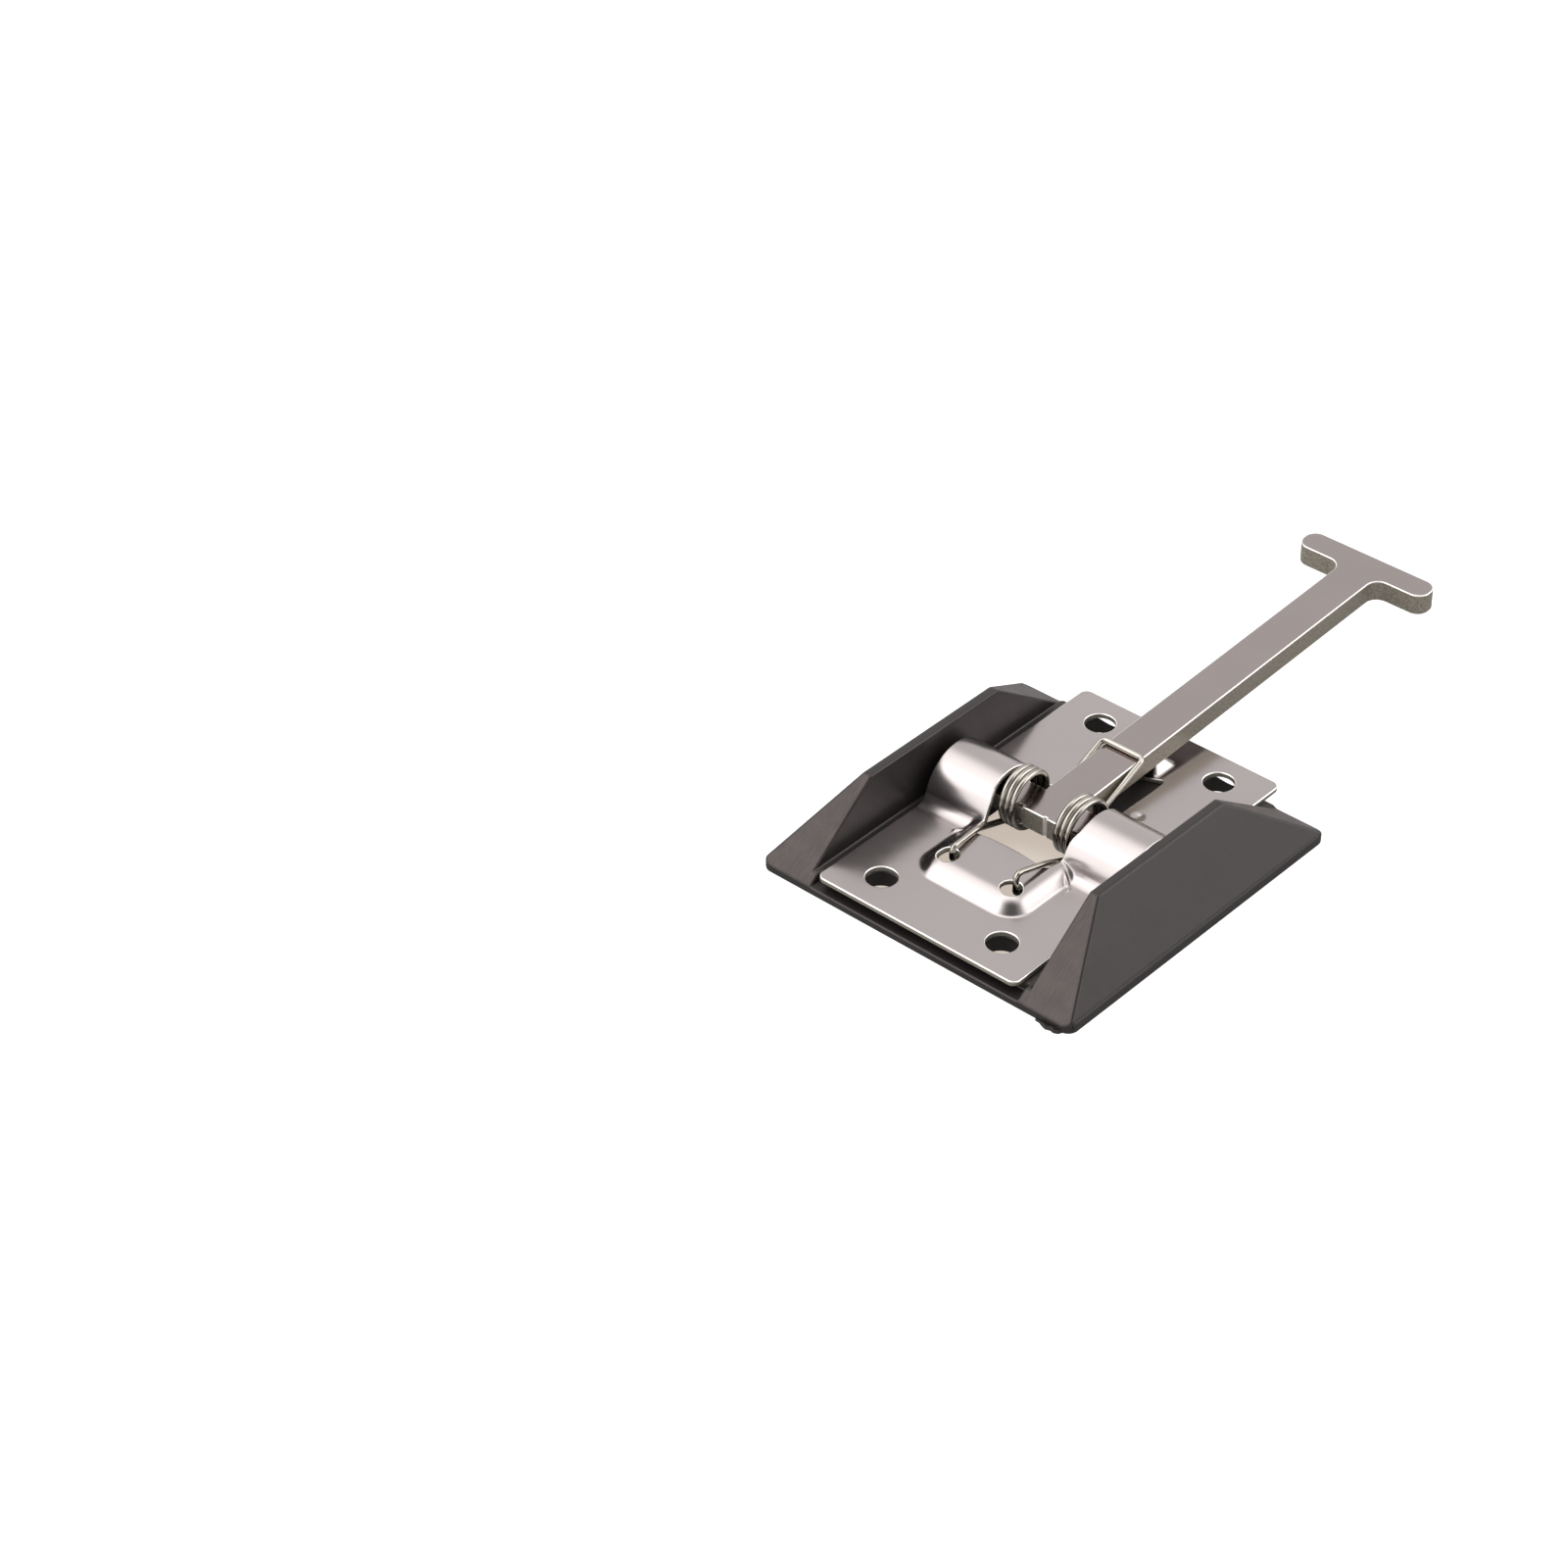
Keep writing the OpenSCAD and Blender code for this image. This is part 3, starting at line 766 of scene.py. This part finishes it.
def half_wire(hook_x, hook_top):
    """The wire's centre line in millimetres, from the middle of the bail to one hook's end. The
    hook lies hook_x from the middle, and its top is at hook_top."""
    start = touching(*bail, 1)
    end = touching(*leg_bend, -1) - 2 * math.pi * coil_turns
    coil_end = leg_x + (start - end) / (2 * math.pi) * coil_pitch
    down = Vector((0, math.sin(start), -math.cos(start)))
    centre = Vector((leg_x - bail_r, *bail)) + bail_r * down
    path = [Vector((0, *bail))]
    path += [centre + bail_r * (math.cos(a) * Vector((1, 0, 0)) - math.sin(a) * down)
             for a in (math.radians(90 - 10 * i) for i in range(10))]
    steps = 150
    for i in range(steps + 1):
        a = start + i / steps * (end - start)
        path.append(Vector((leg_x + i / steps * (coil_end - leg_x),
                            pivot_y + coil_r * math.cos(a), coil_z + coil_r * math.sin(a))))
    leaving = path[-1]
    bend_y = hook_y + hook_bend
    lift = (hook_top - leg_bend[1]) / (leg_bend[0] - bend_y)
    leg = [(leaving.y + k * (leg_bend[0] - leaving.y), leaving.z + k * (leg_bend[1] - leaving.z))
           for k in (0.35, 0.7, 0.88)]
    leg += [(y, leg_bend[1] + lift * (leg_bend[0] - y))
            for y in (leg_bend[0], -13.3, -15.5, bend_y + 0.5)]
    path += [Vector((coil_end + (y - leaving.y) / (bend_y - leaving.y) * (hook_x - coil_end), y, z))
             for y, z in leg]
    quarter = [math.radians(15 * i) for i in range(1, 7)]
    path += [Vector((hook_x, bend_y - hook_bend * math.sin(a),
                     hook_top - hook_bend * (1 - math.cos(a)))) for a in quarter]
    path += [Vector((hook_x, hook_y + tail_bend * (1 - math.cos(a)),
                     tail_z + tail_bend * (1 - math.sin(a)))) for a in [0] + quarter]
    path.append(Vector((hook_x, tail_end, tail_z)))
    return path


right_side = half_wire(*right_hook)
left_side = half_wire(*left_hook)
centre_line = [Vector((-p.x, p.y, p.z)) for p in reversed(left_side[1:])] + right_side
line = bpy.data.curves.new("spring_line", "CURVE")
line.dimensions = "3D"
strand = line.splines.new("POLY")
strand.points.add(len(centre_line) - 1)
for place, point in zip(strand.points, centre_line):
    place.co = (*(point * MM), 1)
wire = Finish("drawn spring wire", Metallic=1.0)

tree = bpy.data.node_groups.new("wire along a line", "GeometryNodeTree")
tree.interface.new_socket("Line", in_out="INPUT", socket_type="NodeSocketGeometry")
for name, kind in (("Wire radius", "NodeSocketFloat"), ("Facets", "NodeSocketInt")):
    tree.interface.new_socket(name, in_out="INPUT", socket_type=kind)
tree.interface.new_socket("Wire", in_out="OUTPUT", socket_type="NodeSocketGeometry")
inlet = tree.nodes.new("NodeGroupInput")
outlet = tree.nodes.new("NodeGroupOutput")
ring_node = tree.nodes.new("GeometryNodeCurvePrimitiveCircle")
sweep = tree.nodes.new("GeometryNodeCurveToMesh")
sweep.inputs["Fill Caps"].default_value = True
real = tree.nodes.new("GeometryNodeRealizeInstances")
finish = tree.nodes.new("GeometryNodeSetMaterial")
finish.inputs["Material"].default_value = wire.material
tree.links.new(inlet.outputs["Wire radius"], ring_node.inputs["Radius"])
tree.links.new(inlet.outputs["Facets"], ring_node.inputs["Resolution"])
tree.links.new(inlet.outputs["Line"], sweep.inputs["Curve"])
tree.links.new(ring_node.outputs["Curve"], sweep.inputs["Profile Curve"])
tree.links.new(sweep.outputs["Mesh"], real.inputs["Geometry"])
tree.links.new(real.outputs["Geometry"], finish.inputs["Geometry"])
tree.links.new(finish.outputs["Geometry"], outlet.inputs["Wire"])

guide = bpy.data.objects.new("spring_line", line)
scene.collection.objects.link(guide)
wound = guide.modifiers.new("wire", "NODES")
wound.node_group = tree
sizes = {item.name: item.identifier for item in tree.interface.items_tree
         if item.in_out == "INPUT"}
wound[sizes["Wire radius"]] = wire_r * MM
wound[sizes["Facets"]] = 16
mesh = bpy.data.meshes.new_from_object(
    guide.evaluated_get(bpy.context.evaluated_depsgraph_get()))
bpy.data.objects.remove(guide)
spring = bpy.data.objects.new("spring_wire", mesh)
scene.collection.objects.link(spring)
mesh.shade_smooth()
mesh.set_sharp_from_angle(angle=math.radians(50))

spot = wire.place()
cloud = wire.noise(spot, 3)
draw = wire.noise(spot, 0.35, 3, 0.6)
wire.set(
    Base_Color=wire.mix(cloud, (0.36, 0.33, 0.295), (0.43, 0.40, 0.36)),
    Roughness=0.09 + 0.08 * draw)
wire.bump(draw, 0.012)
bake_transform(spring)
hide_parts("torsion_spring")


# Table, surround and lamps: a white table with a painted shadow, darker and warmer, under the base
# where it is seen through the plate, and three area lamps. The white surroundings, as polished
# faces mirror them, are brighter in three directions and dark in one.
table = bpy.data.objects.new("table", bpy.data.meshes.new("table"))
table_half = 3.0
table_corners = ((-1, -1), (1, -1), (1, 1), (-1, 1))
table.data.from_pydata([(x * table_half, y * table_half, 0) for x, y in table_corners],
                       [], [(0, 1, 2, 3)])
scene.collection.objects.link(table)
pale = Finish("white table", Roughness=1.0)
pale.set(Base_Color=(0.6, 0.6, 0.6, 1), Specular_IOR_Level=0.0)
glow = pale.tree.nodes.new("ShaderNodeEmission")
both = pale.tree.nodes.new("ShaderNodeMixShader")
seen = (pale.node("ShaderNodeLightPath", {}, {}, "Is Camera Ray")
        + pale.node("ShaderNodeLightPath", {}, {}, "Is Transmission Ray"))
pale.put(0.55 * seen, both.inputs[0])
table_x = pale.node("ShaderNodeSeparateXYZ", {}, {"Vector": pale.place()}, "X")
table_y = Amount(pale, table_x.socket.node.outputs["Y"])
# Painted shadow: under the base, where the table is seen through the plate's window and holes, its
# glow is darker and warmer.
painted_shadow = ((1 - table_x.math("ABSOLUTE", table_x).ramp(24, 32))
           * (1 - table_y.math("ABSOLUTE", table_y + 2).ramp(26, 34)))
pale.put(pale.mix(painted_shadow, (1.0, 1.0, 1.0), (0.52, 0.45, 0.385)), glow.inputs["Color"])
glow.inputs["Strength"].default_value = 1.95
pale.tree.links.new(pale.shader.outputs[0], both.inputs[1])
pale.tree.links.new(glow.outputs[0], both.inputs[2])
pale.tree.links.new(both.outputs[0], pale.tree.nodes["Material Output"].inputs["Surface"])
table.data.materials.append(pale.material)

world = bpy.data.worlds.new("surround")
scene.world = world
world.use_nodes = True
air = Nodes(world.node_tree)
sky = world.node_tree.nodes["Background"]
sky.inputs["Color"].default_value = (1, 1, 1, 1)
toward = air.node("ShaderNodeTexCoord", {}, {}, "Generated")


def glow_from(direction, inner, outer):
    """1 within inner degrees of a direction, 0 past outer degrees, smooth between them."""
    nearness = air.node("ShaderNodeVectorMath", {"operation": "DOT_PRODUCT"}, {
        0: toward, 1: Vector(direction).normalized()}, "Value")
    return nearness.ramp(math.cos(math.radians(outer)), math.cos(math.radians(inner)))


bright_parts = (1.5 * glow_from((-0.1, -0.25, 1), 18, 50)
                + 1.3 * glow_from((-0.58, -0.72, 0.40), 10, 42)
                + 2.0 * glow_from((0.65, 0.60, 0.48), 10, 36))
dark_part = glow_from((0.40, -0.42, 0.81), 8, 42)
camera_ray = air.node("ShaderNodeLightPath", {}, {}, "Is Camera Ray")
mirror = (air.node("ShaderNodeLightPath", {}, {}, "Is Glossy Ray")
          + air.node("ShaderNodeLightPath", {}, {}, "Is Transmission Ray"))
plain = 0.45
mirrored = (1 + bright_parts) * (1 - 0.93 * dark_part)
air.put(plain + camera_ray * (1 - plain) + mirror * (mirrored - plain), sky.inputs["Strength"])


def area_lamp(name, direction, distance, size, radiance):
    """A lamp that faces the origin, and that polished faces don't mirror."""
    lamp = bpy.data.lights.new(name, "AREA")
    lamp.shape = "RECTANGLE"
    lamp.size, lamp.size_y = size
    lamp.energy = radiance * math.pi * size[0] * size[1]
    held = bpy.data.objects.new(name, lamp)
    aim = Vector(direction).normalized()
    held.location = aim * distance
    held.rotation_euler = aim.to_track_quat("Z", "Y").to_euler()
    held.visible_glossy = False
    scene.collection.objects.link(held)


area_lamp("overhead lamp", (-0.15, -0.25, 1), 0.9, (0.8, 0.6), 2.3)
area_lamp("front left lamp", (-0.55, -0.66, 0.5), 1.0, (0.6, 0.5), 2.0)
area_lamp("back right lamp", (0.55, 0.62, 0.62), 1.1, (0.45, 0.45), 1.8)
